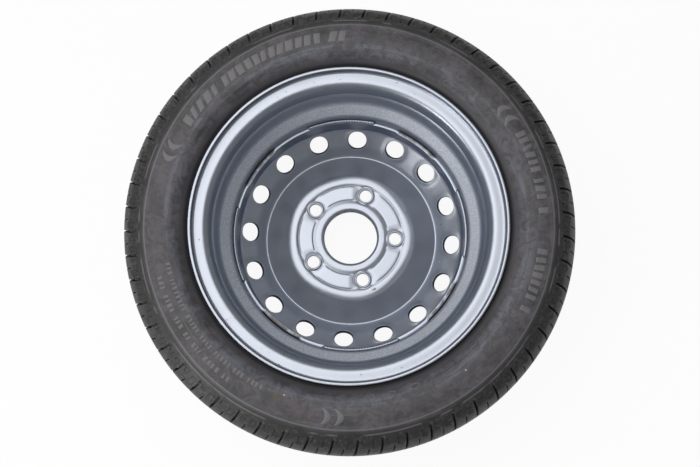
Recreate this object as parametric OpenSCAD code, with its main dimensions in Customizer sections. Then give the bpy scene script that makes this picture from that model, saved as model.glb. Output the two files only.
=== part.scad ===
// Car trailer wheel: a welded steel wheel with its tyre and a clamp-in tyre valve.
// Millimetres. +Z is the wheel's axis and points to the inboard side, where the hub sits.
// The origin is on the axis, midway between the two rim flanges.

/* [Rim] */
// Specified diameter of the bead seats
rim_d = 329.4; // [300:0.1:360]
// Width of the rim between its flanges
rim_w = 152.4; // [140:0.1:166]
// Thickness of the rim sheet
rim_t = 3; // [2.4:0.1:3.4]
// Height of a flange above the bead seat
flange_h = 17.5; // [17:0.1:19]
// Radius of the flange's curl on the tyre side
flange_curl = 9.5; // [8.5:0.1:10.5]
// Straight lip beyond the curl
flange_lip = 2.3; // [1.5:0.1:4]
// Radius of the bead heel on the tyre side
heel_r = 6.5; // [5.5:0.1:7.5]
// Width of a bead seat, from the flange to its hump
seat_w = 19.8; // [18:0.1:22]
// Taper of a bead seat, in degrees
seat_taper = 5; // [4:0.5:6]
// Rise of a hump above the end of the bead seat
hump_h = 1; // [0.6:0.1:1.4]
// Depth of the well, from the bead seat to its inner face, where the disc is pressed in
well_depth = 21.7; // [20.7:0.1:23.7]
// Inboard end of the well
well_top = 12.5; // [8:0.5:18]
// Outboard end of the well
well_bottom = -42; // [-44:0.5:-40]
// Length along the axis of the well's inboard slope
slope_len = 15; // [12:0.5:18]
// Radial rise of the well's inboard slope
slope_rise = 11.5; // [9:0.5:13]

/* [Disc] */
// Thickness of the disc plate
disc_t = 4; // [3.4:0.1:4.4]
// Distance from the rim's middle to the mounting face, outboard
inset = 30; // [27:0.5:33]
// Diameter of the centre bore
bore_d = 66.6; // [60:0.1:68]
// Length of the collar round the bore, from the mounting face
collar_len = 11.5; // [10:0.5:14]
// Radius of the ridge round the bore, at its crest
bore_ridge_r = 39; // [38:0.5:41]
// Depth of the trough between the two ridges
trough_depth = 2.8; // [2:0.1:3.2]
// Radius of the ridge round the bolt holes, at its crest
outer_ridge_r = 71; // [70:0.5:73]
// Radial width of the vented cone, from the valley to the well
cone_w = 35.4; // [33:0.1:39]
// Depth of the valley's corner below the mounting face
valley_depth = 26; // [23:0.5:28]
// Slope of the vented cone, in degrees
cone_slope = 36; // [33:0.5:39]
// Height of the disc flange's edge above the rim's middle
disc_edge_z = 0; // [-4:0.5:3]
// Clearance between the disc flange and the well
press_gap = 0.05; // [0.02:0.01:0.1]

/* [Disc flange] */
// Number of places where the flange steps in from the rim
step_count = 4; // [3:1:5]
// Depth of such a step
step_in = 2.4; // [1.5:0.1:2.8]
// Height of such a step along the axis
step_h = 16; // [12:0.5:18]
// Angle of one step
step_span = 23; // [18:0.5:28]
// Angle of the first step's middle
step_phase = 53.2; // [30:0.1:70]
// Angle of one weld bead
weld_span = 37; // [24:0.5:38]
// Angle of the first weld bead's middle
weld_phase = 5.5; // [-5:0.1:15]
// Leg of the weld bead
weld_leg = 4; // [3:0.1:5]

/* [Holes] */
// Number of vent holes
vent_count = 16; // [12:1:18]
// Diameter of a vent hole
vent_d = 24.6; // [20:0.1:26]
// Distance of the vent circle from the well, at the middle of the plate
vent_in = 14.6; // [14:0.1:16]
// Angle of the first vent hole
vent_phase = -3.9; // [-11:0.1:11]
// Number of bolt holes
bolt_count = 5; // [4:1:5]
// Diameter of the bolt circle
bolt_pcd = 112; // [110:0.1:114]
// Diameter of a bolt hole
bolt_d = 15.5; // [14:0.1:16]
// Angle of the first bolt hole
bolt_phase = -2.2; // [-36:0.1:36]
// Diameter of the lip round a bolt hole, on the inboard side
lip_d = 21; // [19:0.1:22]
// Height of that lip above the trough
lip_h = 1.3; // [0.8:0.1:1.8]
// Diameter of the bolt seat at its outboard mouth
seat_d = 23.2; // [21:0.1:25]
// Height of the bolt seat's boss above the plate, outboard
boss_h = 4.5; // [3.5:0.1:5.5]
// Inner radius of a flat pad between two bolt holes
pad_in = 47.8; // [46:0.1:50]
// Outer radius of a flat pad
pad_out = 65; // [62:0.1:65.5]
// Angle of a pad
pad_span = 43; // [30:0.5:44]
// Height of a pad above the trough
pad_h = 1.4; // [0.8:0.1:1.8]

/* [Tyre] */
// Section width of the tyre
tyre_w = 201; // [196:0.5:206]
// Height of the tyre's section above the bead seat
tyre_h = 97.9; // [94:0.1:102]
// Thickness of the tread rubber and belts at the middle
tread_t = 13; // [11.5:0.1:15]
// Thickness of the sidewall at its widest
wall_t = 9; // [7:0.1:11]
// Distance of the tread's edge from the plane that touches the sidewall
shoulder_in = 25; // [22:0.5:28]
// Width of a tread groove
groove_w = 9; // [6:0.1:10]
// Depth of the tread grooves
groove_d = 7; // [5:0.1:7.5]
// Distance between neighbouring tread grooves
groove_pitch = 31; // [28:0.5:33]
// Number of blocks round each shoulder
block_count = 56; // [48:1:60]
// Width of the gap between two shoulder blocks
block_gap = 4.4; // [3:0.1:5.5]
// Angle at which the gaps slant, in degrees
block_slant = 14; // [0:1:20]
// Height of the ring ribs on the sidewall
rib_h = 0.8; // [0.4:0.1:1.2]
// Clearance between the beads and the rim
bead_gap = 0.15; // [0.05:0.01:0.2]

/* [Valve] */
// Angle of the valve round the wheel
valve_angle = 32.3; // [28:0.1:36]
// Diameter of the valve hole
valve_hole_d = 11.3; // [9:0.1:12]
// Length of the stem outside the rim
stem_len = 32; // [28:0.5:36]
// Diameter of the stem's shank
stem_d = 8.3; // [7.8:0.1:8.8]
// Diameter of the stem's tip, which carries the cap
tip_d = 7.7; // [7.2:0.1:7.7]
// Diameter of the stem's foot inside the rim
foot_d = 15.6; // [14:0.1:16]
// Thickness of the foot
foot_t = 2.4; // [2:0.1:3]
// Thickness of the grommet's flange
grommet_t = 2; // [1.5:0.1:2.5]
// Diameter of the washer
washer_d = 16; // [15:0.1:17]
// Thickness of the washer
washer_t = 1.2; // [1:0.1:1.6]
// Width of the nut across its flats
nut_af = 12; // [11:0.1:13]
// Height of the nut
nut_h = 5; // [4:0.1:6]
// Diameter of the cap
cap_d = 10.4; // [10:0.1:11]
// Height of the cap
cap_h = 11.6; // [11:0.1:14]
// Length of the stem that the cap covers
cap_cover = 8; // [6.5:0.1:9]
// Thickness of the seal in the cap
cap_seal_t = 1.1; // [0.8:0.1:1.4]
// Radial clearance between the cap and the stem's tip
cap_gap = 0.1; // [0.05:0.01:0.15]
// Diameter of the valve core
core_d = 5.2; // [4.8:0.1:5.4]
// Length of the valve core
core_len = 14; // [12:0.5:16]
// Diameter of the core's pin
pin_d = 1.4; // [1.2:0.1:1.6]
// Travel of the pin when it is pressed
pin_travel = 1.5; // [1:0.1:1.8]

/* [Hidden] */
$fn = 120;
arc_steps = 5;

// Unit vector along v
function unit(v) = v / norm(v);
// Point on a circle of radius r round c at angle a
function on_arc(c, r, a) = c + r * [cos(a), sin(a)];
// Arc that rounds the corner at b, between the points a and c
function corner(a, b, c, r) =
    let (u = unit(a - b), v = unit(c - b),
         half = acos(u * v) / 2,
         p = b + u * r / tan(half), q = b + v * r / tan(half),
         m = b + unit(u + v) * r / sin(half),
         from = atan2(p.y - m.y, p.x - m.x), to = atan2(q.y - m.y, q.x - m.x),
         turn = (to - from + 540) % 360 - 180)
    [for (i = [0:arc_steps]) on_arc(m, r, from + turn * i / arc_steps)];
function xy(p) = [p.x, p.y];
// Path through points [radius, z, rounding], with its corners rounded
function rounded(pts) =
    [for (i = [0:len(pts) - 1])
        each (i == 0 || i == len(pts) - 1 || pts[i].z == 0) ? [xy(pts[i])]
            : corner(xy(pts[i - 1]), xy(pts[i]), xy(pts[i + 1]), pts[i].z)];
// Path moved sideways by w, with mitred corners
function beside(path, w) =
    [for (i = [0:len(path) - 1])
        let (a = unit(path[min(i + 1, len(path) - 1)] - path[min(i, len(path) - 2)]),
             b = unit(path[max(i, 1)] - path[max(i - 1, 0)]),
             m = unit(a + b))
        path[i] + w / (m * a) * [-m.y, m.x]];
function reversed(list) = [for (i = [len(list) - 1:-1:0]) list[i]];
// Outline of a bent sheet of thickness t along its middle line
function sheet(path, t) = concat(beside(path, t / 2), reversed(beside(path, -t / 2)));

// Rim section: middle line of the sheet, from the inboard lip to the outboard one
seat_r = rim_d / 2;
rim_half = rim_w / 2;
lip_r = seat_r + flange_h;
well_r = seat_r - well_depth;
curl_z = rim_half + flange_curl;
lip_z = curl_z + flange_lip;
seat_fall = seat_w * tan(seat_taper);
sheet_mid = rim_t / 2;
face_z = rim_half + sheet_mid;
seat_end_r = seat_r - sheet_mid - seat_fall;
hump_r = seat_end_r + 1.6 * hump_h;
hump_z = rim_half - seat_w - 2.4;
function rim_shoulder(side) = [
    [lip_r - sheet_mid, side * lip_z, 0],
    [lip_r - sheet_mid, side * face_z, flange_curl - sheet_mid],
    [seat_r - sheet_mid, side * face_z, heel_r + sheet_mid]];
function rim_hump(side) = [
    [seat_end_r, side * (rim_half - seat_w + 1), 3],
    [hump_r, side * hump_z, 3]];
well_mid_r = well_r + sheet_mid;
slope_top_r = well_mid_r + slope_rise;
rim_points = concat(
    rim_shoulder(1), rim_hump(1),
    [[seat_end_r - 1.6, hump_z - 3.6, 6],
     [slope_top_r, well_top + slope_len, 5],
     [well_mid_r, well_top, 6],
     [well_mid_r, well_bottom, 4.5]],
    reversed(rim_hump(-1)), reversed(rim_shoulder(-1)));
rim_line = rounded(rim_points);

// Disc section: middle line of the plate, from the bore's collar to the flange edge
face = -inset;
disc_mid = disc_t / 2;
valley_r = well_r - cone_w;
vent_r = well_r - vent_in;
crest_z = face - disc_mid;
trough_z = crest_z - trough_depth;
collar_r = bore_d / 2 + disc_mid;
valley_z = face - valley_depth;
flange_mid_r = well_r - press_gap - disc_mid;
function cone_z(r) = valley_z + (r - valley_r) * tan(cone_slope);
disc_line = rounded([
    [collar_r, face - collar_len, 0],
    [collar_r, crest_z, bore_ridge_r - collar_r],
    [bore_ridge_r + 1.6, crest_z, 2.4],
    [bore_ridge_r + 5.5, trough_z, 2.4],
    [outer_ridge_r - 5, trough_z, 2.4],
    [outer_ridge_r - 1.8, crest_z, 2.4],
    [outer_ridge_r + 4.5, crest_z, 6],
    [valley_r, valley_z, 6.5],
    [flange_mid_r, cone_z(flange_mid_r), 8],
    [flange_mid_r, disc_edge_z, 0]]);
trough_top = trough_z + disc_mid;
trough_under = trough_z - disc_mid;

// Tyre section: outer outline of one half, from the crown to the bead's toe
tyre_r = seat_r + tyre_h;
wall_z = tyre_w / 2;
wall_h = tyre_r - lip_r;
bulge = wall_z - curl_z;
shoulder_z = wall_z - shoulder_in;
curl_c = [lip_r - flange_curl, curl_z];
bead_r = seat_r + bead_gap;
bead_z = rim_half - bead_gap;
toe_z = rim_half - seat_w + 1.4;
toe_r = bead_r - (bead_z - toe_z) * tan(seat_taper);
// Sidewall points, at a share of the height above the lip: the upper ones lie a share of the
// shoulder's width inside the widest plane, the lower ones a share of the bulge beyond the curl
function upper_wall(up, in, rounding) =
    [lip_r + up * wall_h, wall_z - in * shoulder_in, rounding * wall_h];
function lower_wall(up, out, rounding) =
    [lip_r + up * wall_h, curl_z + out * bulge, rounding * wall_h];
tyre_side = rounded([
    [tyre_r, 0, 0],
    [tyre_r - 0.5, shoulder_z * 0.42, 4 * shoulder_z],
    [tyre_r - 1.6, shoulder_z * 0.74, 1.6 * shoulder_z],
    [tyre_r - 4.2, shoulder_z, 26],
    upper_wall(0.838, 0.54, 0.2),
    upper_wall(0.614, 0.136, 0.5),
    upper_wall(0.472, 0, 0.56),
    lower_wall(0.31, 1, 0.5),
    lower_wall(0.19, 0.8, 0.22),
    lower_wall(0.062, 0.29, 0.1),
    [lip_r + 1.9, curl_z - 2, 4.5],
    [curl_c.x + flange_curl * 0.86, curl_z - flange_curl * 0.56, 0]]);
// Bead outline, which follows the flange's curl and the bead seat
bead_curl = [for (i = [0:arc_steps])
    on_arc(curl_c, flange_curl + bead_gap, -36 - i * 54 / arc_steps)];
bead_heel = corner([curl_c.x, bead_z], [bead_r, bead_z], [toe_r, toe_z], heel_r - bead_gap);
// Inner outline of one half, from the toe to the crown
crown_in = tyre_r - tread_t;
liner_h = crown_in - lip_r;
liner_z = wall_z - wall_t;
tyre_liner = rounded([
    [toe_r, toe_z, 0],
    [toe_r + 7, toe_z + 1, 6],
    [seat_r + 17, rim_half - 9, 14],
    [lip_r + 0.185 * liner_h, liner_z - 3.6, 0.3 * liner_h],
    [lip_r + 0.467 * liner_h, liner_z, 0.6 * liner_h],
    [lip_r + 0.748 * liner_h, liner_z - 4.5, 0.45 * liner_h],
    [crown_in - 3.2, shoulder_z - 2, 16],
    [crown_in, 6, 0]]);
// Ring ribs on the sidewall, worked into the outline where they stand
rib_radii = [for (up = [0.664, 0.59, 0.205]) lip_r + up * wall_h];
side_table = [for (p = reversed(tyre_side)) p];
function side_at(r, rise) = [r, lookup(r, side_table) + rise];
function rib(r) = [side_at(r + 1.4, 0), side_at(r + 0.5, rib_h),
                   side_at(r - 0.5, rib_h), side_at(r - 1.4, 0)];
function off_ribs(p) = min([for (r = rib_radii) abs(p.x - r)]) > 1.6;
ribbed_side = [for (i = [0:len(tyre_side) - 1])
    each concat(off_ribs(tyre_side[i]) ? [tyre_side[i]] : [],
        [for (r = rib_radii)
            if (i < len(tyre_side) - 1 && tyre_side[i].x > r && tyre_side[i + 1].x <= r) each rib(r)])];
tyre_half = concat(ribbed_side, bead_curl, bead_heel, tyre_liner);
tyre_outline = concat(tyre_half,
    [for (i = [len(tyre_half) - 1:-1:1]) [tyre_half[i].x, -tyre_half[i].y]]);

// Valve: its hole is square to the well's outboard slope
slope_a = [well_mid_r, well_bottom];
slope_b = [hump_r, -hump_z];
valve_tilt = atan2(slope_a.y - slope_b.y, slope_b.x - slope_a.x);
valve_seat = (slope_a + slope_b) / 2;
valve_fit = 0.05;
// The flat washer touches the hollow side of the slope with two points of its edge
slope_curve = (valve_seat.x - sheet_mid) / sin(valve_tilt);
washer_z = sheet_mid + washer_d * washer_d / (8 * slope_curve) + valve_fit / 2;
nut_z = washer_z + washer_t;
stem_top = sheet_mid + stem_len;
foot_z = -(sheet_mid + grommet_t);
stem_bore_d = core_d + 2 * valve_fit;
air_way_d = 3;
core_top = stem_top - 2;
core_foot = core_top - core_len;
neck_t = 2;
chamber_d = core_d - 1.4;
collar_z = core_top - neck_t - 1.2;
seat_gap_z = core_foot - valve_fit;
core_seal_t = 1.6;
core_seal_d = core_d - 0.6;
head_t = 0.8;
spring_wire = 0.4;
spring_turns = 7;
spring_sides = 6;
spring_rings = 84;
knurl_count = 16;
knurl_d = 1.1;

// Ring of a rectangular section between two radii and two heights
module ring_block(r0, r1, z0, z1, span) {
    rotate([0, 0, -span / 2])
        rotate_extrude(angle = span)
            translate([r0, z0])
                square([r1 - r0, z1 - z0]);
}
module at_steps() {
    for (i = [0:step_count - 1])
        rotate([0, 0, step_phase + i * 360 / step_count])
            children();
}
module at_bolts() {
    for (i = [0:bolt_count - 1])
        rotate([0, 0, bolt_phase + i * 360 / bolt_count])
            children();
}
module at_valve() {
    rotate([0, 0, valve_angle])
        translate([valve_seat.x, 0, valve_seat.y])
            rotate([0, 180 + valve_tilt, 0])
                children();
}
// Tube between two heights on the valve's own axis
module tube(d_out, d_in, z0, z1) {
    translate([0, 0, z0])
        difference() {
            cylinder(h = z1 - z0, d = d_out);
            translate([0, 0, -1])
                cylinder(h = z1 - z0 + 2, d = d_in);
        }
}

// Tyre: one moulding with grooved tread, open at the beads
module tread_grooves() {
    for (k = [-1.5:1:1.5])
        translate([0, 0, k * groove_pitch - groove_w / 2])
            rotate_extrude()
                translate([tyre_r - groove_d, 0])
                    square([groove_d + 2, groove_w]);
}
module shoulder_gap() {
    translate([tyre_r - groove_d, 0, 1.5 * groove_pitch])
        rotate([block_slant, -5, 0])
            translate([0, -block_gap / 2, 0])
                cube([groove_d + 6, block_gap, wall_z - 1.5 * groove_pitch]);
}
module shoulder_gaps() {
    for (i = [0:block_count - 1])
        rotate([0, 0, i * 360 / block_count]) {
            shoulder_gap();
            rotate([180, 0, 180 / block_count])
                shoulder_gap();
        }
}
module tyre() {
    color("#2b2c2e")
        difference() {
            rotate_extrude()
                polygon(tyre_outline);
            tread_grooves();
            shoulder_gaps();
        }
}

// Rim: one strip, rolled to section and butt welded
module rim() {
    color("#aab2bd")
        difference() {
            rotate_extrude()
                polygon(sheet(rim_line, rim_t));
            at_valve()
                cylinder(h = 4 * rim_t, d = valve_hole_d, center = true);
        }
}

// Wheel disc: one pressing
module bolt_boss() {
    translate([bolt_pcd / 2, 0, trough_under - boss_h])
        cylinder(h = boss_h + 1, d1 = seat_d + 4, d2 = seat_d + 8);
    translate([bolt_pcd / 2, 0, trough_z])
        cylinder(h = disc_mid + lip_h, d = lip_d);
}
module bolt_hole() {
    seat_h = (seat_d - bolt_d) / 2 / tan(30);
    translate([bolt_pcd / 2, 0, trough_under - boss_h]) {
        translate([0, 0, -1])
            cylinder(h = boss_h + disc_t + lip_h + 2, d = bolt_d);
        cylinder(h = seat_h, d1 = seat_d, d2 = bolt_d);
        translate([0, 0, -1])
            cylinder(h = 1, d = seat_d);
    }
}
module vent_hole() {
    translate([vent_r, 0, cone_z(vent_r)])
        rotate([0, -cone_slope, 0])
            cylinder(h = 5 * disc_t, d = vent_d, center = true);
}
module pads(z0, z1, shrink) {
    for (i = [0:bolt_count - 1])
        rotate([0, 0, bolt_phase + (i + 0.5) * 360 / bolt_count])
            ring_block(pad_in + shrink, pad_out - shrink, z0, z1, pad_span - 2 * shrink);
}
module wheel_disc() {
    flange_out = flange_mid_r + disc_mid;
    flange_in = flange_mid_r - disc_mid;
    step_z = disc_edge_z - step_h;
    color("#a3adba")
        difference() {
            union() {
                difference() {
                    rotate_extrude()
                        polygon(sheet(disc_line, disc_t));
                    at_steps()
                        ring_block(flange_out - step_in, flange_out + 1,
                                   step_z, disc_edge_z + 1, step_span);
                }
                at_steps()
                    ring_block(flange_in - step_in, flange_in + 0.5, step_z, disc_edge_z, step_span);
                pads(trough_z, trough_top + pad_h, 0);
                at_bolts()
                    bolt_boss();
            }
            pads(trough_under - 1, trough_under + pad_h, 1.5);
            at_bolts()
                bolt_hole();
            for (i = [0:vent_count - 1])
                rotate([0, 0, vent_phase + i * 360 / vent_count])
                    vent_hole();
        }
}

// Weld beads between the disc flange's edge and the well
module disc_welds() {
    bead_out = well_r - press_gap / 2;
    color("#b4bac2")
        for (i = [0:step_count - 1])
            rotate([0, 0, weld_phase + i * 360 / step_count - weld_span / 2])
                rotate_extrude(angle = weld_span)
                    polygon([[bead_out, disc_edge_z], [bead_out, disc_edge_z + weld_leg],
                             [bead_out - 0.4 * weld_leg, disc_edge_z + 0.8 * weld_leg],
                             [bead_out - 0.8 * weld_leg, disc_edge_z + 0.4 * weld_leg],
                             [bead_out - weld_leg, disc_edge_z]]);
}

// Valve pieces, drawn along the valve's own axis with +Z away from the tyre
module valve_stem() {
    color("#c9c6bd")
        at_valve()
            difference() {
                union() {
                    translate([0, 0, foot_z - foot_t])
                        cylinder(h = foot_t, d = foot_d);
                    translate([0, 0, foot_z - foot_t])
                        cylinder(h = stem_top - cap_cover - foot_z + foot_t - 0.5, d = stem_d);
                    translate([0, 0, foot_z])
                        cylinder(h = stem_top - foot_z, d = tip_d);
                }
                translate([0, 0, foot_z - foot_t - 1])
                    cylinder(h = stem_top - foot_z + foot_t + 2, d = air_way_d);
                translate([0, 0, core_foot - core_seal_t - head_t - pin_travel - 1])
                    cylinder(h = stem_top, d = stem_bore_d);
            }
}
module valve_grommet() {
    color("#202124")
        at_valve() {
            difference() {
                union() {
                    translate([0, 0, foot_z])
                        cylinder(h = grommet_t, d = foot_d);
                    translate([0, 0, foot_z])
                        cylinder(h = grommet_t + rim_t, d = valve_hole_d - 2 * valve_fit);
                }
                translate([0, 0, foot_z - 1])
                    cylinder(h = grommet_t + rim_t + 2, d = stem_d + valve_fit);
            }
        }
}
module valve_washer() {
    color("#b9bcc0")
        at_valve()
            tube(washer_d, stem_d + 4 * valve_fit, washer_z, nut_z);
}
module valve_nut() {
    color("#c2c4c6")
        at_valve()
            difference() {
                translate([0, 0, nut_z])
                    cylinder(h = nut_h, d = nut_af / cos(30), $fn = 6);
                translate([0, 0, nut_z - 1])
                    cylinder(h = nut_h + 2, d = stem_d + valve_fit);
            }
}
module valve_core() {
    color("#c8a860")
        at_valve()
            difference() {
                translate([0, 0, core_foot])
                    cylinder(h = core_len, d = core_d);
                translate([0, 0, core_foot - 1])
                    cylinder(h = core_len + 2, d = pin_d + 2 * valve_fit);
                translate([0, 0, core_foot + neck_t])
                    cylinder(h = core_len - 2 * neck_t, d = chamber_d);
                for (side = [-1, 1])
                    translate([side * (core_d + 1.8) / 2, 0, core_top])
                        cube([core_d - 1.8, core_d + 1, 2 * neck_t + 0.4], center = true);
            }
}
module valve_core_pin() {
    color("#d8c078")
        at_valve() {
            translate([0, 0, seat_gap_z - core_seal_t - head_t])
                cylinder(h = stem_top - 0.3 - seat_gap_z + core_seal_t + head_t, d = pin_d);
            translate([0, 0, seat_gap_z - core_seal_t - head_t])
                cylinder(h = head_t, d = core_seal_d);
            translate([0, 0, collar_z])
                cylinder(h = head_t, d = chamber_d - 2 * valve_fit);
        }
}
module valve_core_seal() {
    color("#1c1d20")
        at_valve()
            tube(core_seal_d, pin_d + valve_fit, seat_gap_z - core_seal_t, seat_gap_z);
}
// Ring of the spring's wire: the turn and the height grow along the coil
function spring_point(i, j, z0, z1, r) =
    let (a = 360 * spring_turns * i / spring_rings, b = 360 * j / spring_sides)
    [(r + spring_wire / 2 * cos(b)) * cos(a), (r + spring_wire / 2 * cos(b)) * sin(a),
     z0 + (z1 - z0) * i / spring_rings + spring_wire / 2 * sin(b)];
module valve_core_spring() {
    r = (chamber_d - spring_wire) / 2 - 4 * valve_fit;
    z0 = core_foot + neck_t + spring_wire / 2 + valve_fit;
    z1 = collar_z - spring_wire / 2 - valve_fit;
    points = [for (i = [0:spring_rings], j = [0:spring_sides - 1]) spring_point(i, j, z0, z1, r)];
    sides = [for (i = [0:spring_rings - 1], j = [0:spring_sides - 1])
        let (a = i * spring_sides + j, b = i * spring_sides + (j + 1) % spring_sides)
        each [[a, a + spring_sides, b], [b, a + spring_sides, b + spring_sides]]];
    ends = [[for (j = [0:spring_sides - 1]) j],
            [for (j = [spring_sides - 1:-1:0]) spring_rings * spring_sides + j]];
    color("#b8bcc2")
        at_valve()
            polyhedron(points, concat(sides, ends));
}
module valve_cap() {
    cap_z = stem_top - cap_cover;
    color("#d2d4d6")
        at_valve()
            difference() {
                translate([0, 0, cap_z])
                    cylinder(h = cap_h, d = cap_d);
                translate([0, 0, cap_z - 1])
                    cylinder(h = cap_cover + cap_seal_t + valve_fit + 1, d = tip_d + 2 * cap_gap);
                for (i = [0:knurl_count - 1])
                    rotate([0, 0, i * 360 / knurl_count])
                        translate([cap_d / 2 + 0.2, 0, cap_z + 1])
                            cylinder(h = cap_h, d = knurl_d, $fn = 16);
            }
}
module valve_cap_seal() {
    color("#1c1d20")
        at_valve()
            translate([0, 0, stem_top + valve_fit])
                cylinder(h = cap_seal_t, d = tip_d);
}

tyre();
rim();
wheel_disc();
disc_welds();
valve_stem();
valve_grommet();
valve_washer();
valve_nut();
valve_core();
valve_core_pin();
valve_core_spring();
valve_core_seal();
valve_cap();
valve_cap_seal();
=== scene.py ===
import math

import bmesh
import bpy
import numpy as np
from mathutils import Matrix


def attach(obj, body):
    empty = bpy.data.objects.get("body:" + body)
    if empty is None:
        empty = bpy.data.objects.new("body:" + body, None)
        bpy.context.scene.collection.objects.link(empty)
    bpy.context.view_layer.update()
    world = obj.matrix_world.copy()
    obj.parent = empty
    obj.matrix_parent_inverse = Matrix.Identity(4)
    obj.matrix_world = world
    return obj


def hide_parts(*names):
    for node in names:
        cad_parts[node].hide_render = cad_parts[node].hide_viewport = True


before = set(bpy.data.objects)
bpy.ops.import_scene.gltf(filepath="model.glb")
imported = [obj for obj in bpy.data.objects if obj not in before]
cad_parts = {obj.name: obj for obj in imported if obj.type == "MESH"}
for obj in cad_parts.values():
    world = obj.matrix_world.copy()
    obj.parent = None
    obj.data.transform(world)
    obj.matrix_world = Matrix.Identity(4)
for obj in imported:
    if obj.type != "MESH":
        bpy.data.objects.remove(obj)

bl_info = {
    "name": "Steel wheel with tyre",
    "version": (1, 0, 0),
    "blender": (4, 5, 0),
    "location": "3D View > Sidebar > Wheel",
    "description": "Surfaces and finishes of a welded steel wheel with its tyre and valve",
    "category": "Add Mesh",
}

MM = 0.001
RIM_BODY = "wheel"

# Counts of the disc's bolt holes, vents and flange steps
BOLTS, VENTS, STEPS = 5, 16, 4

# Bolt hole's radius, its boss's depth, and the radius and slope of its cone seat
BOLT_HOLE, BOSS_DEPTH, SEAT_RADIUS, SEAT_SLOPE = 7.75, 4.5, 11.6, 1.732

# Rim section: middle line of the strip from the inboard lip to the outboard one,
# as radius, height and rounding in millimetres
RIM_HALF = 1.5
RIM_SHOULDER = [(180.7, 88.5, 0), (180.7, 77.7, 5.0), (163.2, 77.7, 6.3),
                (161.468, 57.4, 3.0), (163.068, 54.0, 3.0)]
RIM_CORNERS = (
    RIM_SHOULDER
    + [(159.868, 50.4, 6.0), (156.0, 27.5, 5.0), (144.5, 12.5, 6.0), (144.5, -42.0, 4.5)]
    + [(r, -z, k) for r, z, k in reversed(RIM_SHOULDER)])

# Disc section: middle line of the plate from the bore's collar to the flange edge
PLATE_HALF = 2.0
TROUGH_TOP = -31.5
TROUGH_UNDER = -36.8
CONE = math.radians(36)
VALLEY_R, VALLEY_Z = 107.6, -56.0
FLANGE_R = 140.95
DISC_CORNERS = [
    (35.3, -41.5, 0), (35.3, -32.0, 2.3), (42.0, -32.0, 5.0), (46.8, -33.5, 2.0),
    (65.8, -33.5, 2.4), (69.2, -32.0, 4.0), (76.3, -32.0, 13.0), (VALLEY_R, VALLEY_Z, 4.0),
    (FLANGE_R, VALLEY_Z + (FLANGE_R - VALLEY_R) * math.tan(CONE), 8.0), (FLANGE_R, 0.0, 0)]

# Cut edge of a sheet: place across its thickness and reach beyond its end in millimetres
EDGE_ACROSS = np.array([1.0, 0.96, 0.86, 0.0, -0.86, -0.96, -1.0])
EDGE_REACH = 0.35 * np.array([0.0, 0.6, 0.92, 1.0, 0.92, 0.6, 0.0])

# Columns round the disc and round the rim, as steps of one turn
DISC_STEPS, RIM_STEPS = 320, 288

# Tyre's crown radius, and the depth of the sidewall's sunk band that holds the raised bars
CROWN_R = 262.6
BAND_DEPTH = 0.5


def unit(v):
    """The vector v over its length."""
    return v / np.linalg.norm(v)


def ease(x, lo, hi):
    """0 below lo and 1 above hi, with the smooth rise 3k^2 - 2k^3 between."""
    k = np.clip((x - lo) / (hi - lo), 0.0, 1.0)
    return k * k * (3.0 - 2.0 * k)


def off_nearest(a, count, first):
    """Signed angle in degrees from a to the nearest of count evenly spaced angles."""
    pitch = 360.0 / count
    return (a - first + pitch / 2) % pitch - pitch / 2


def polar(r, a, z):
    """Points at radius r, angle a in degrees and height z, from millimetres to metres."""
    t = np.radians(a)
    r, t, z = np.broadcast_arrays(r, t, z)
    return np.stack([r * np.cos(t), r * np.sin(t), z], axis=-1) * MM


def rounded_path(corners, steps=8):
    """Path through corners (radius, height, rounding).

    An arc tangent to both sides takes the place of each rounded corner: its centre lies on
    the corner's bisector at rounding / sin(half the corner angle).
    """
    out = []
    for i, (x, y, r) in enumerate(corners):
        p = np.array([x, y], float)
        if r == 0 or i in (0, len(corners) - 1):
            out.append(p[None])
            continue
        u = unit(np.array(corners[i - 1][:2]) - p)
        v = unit(np.array(corners[i + 1][:2]) - p)
        half = math.acos(float(u @ v)) / 2
        m = p + unit(u + v) * r / math.sin(half)
        a = p + u * r / math.tan(half) - m
        b = p + v * r / math.tan(half) - m
        start = math.atan2(a[1], a[0])
        turn = (math.atan2(b[1], b[0]) - start + math.pi) % (2 * math.pi) - math.pi
        k = start + turn * np.linspace(0, 1, steps + 1)
        out.append(m + r * np.column_stack([np.cos(k), np.sin(k)]))
    return np.vstack(out)


def spaced(path, gap):
    """The path with points added so that no step along it is longer than gap."""
    step = np.linalg.norm(np.diff(path, axis=0), axis=1)
    parts = np.maximum(1, np.ceil(step / gap)).astype(int)
    at = np.concatenate([i + np.arange(n) / n for i, n in enumerate(parts)] + [[len(step)]])
    index = np.arange(len(path))
    return np.column_stack([np.interp(at, index, path[:, k]) for k in (0, 1)])


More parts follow.
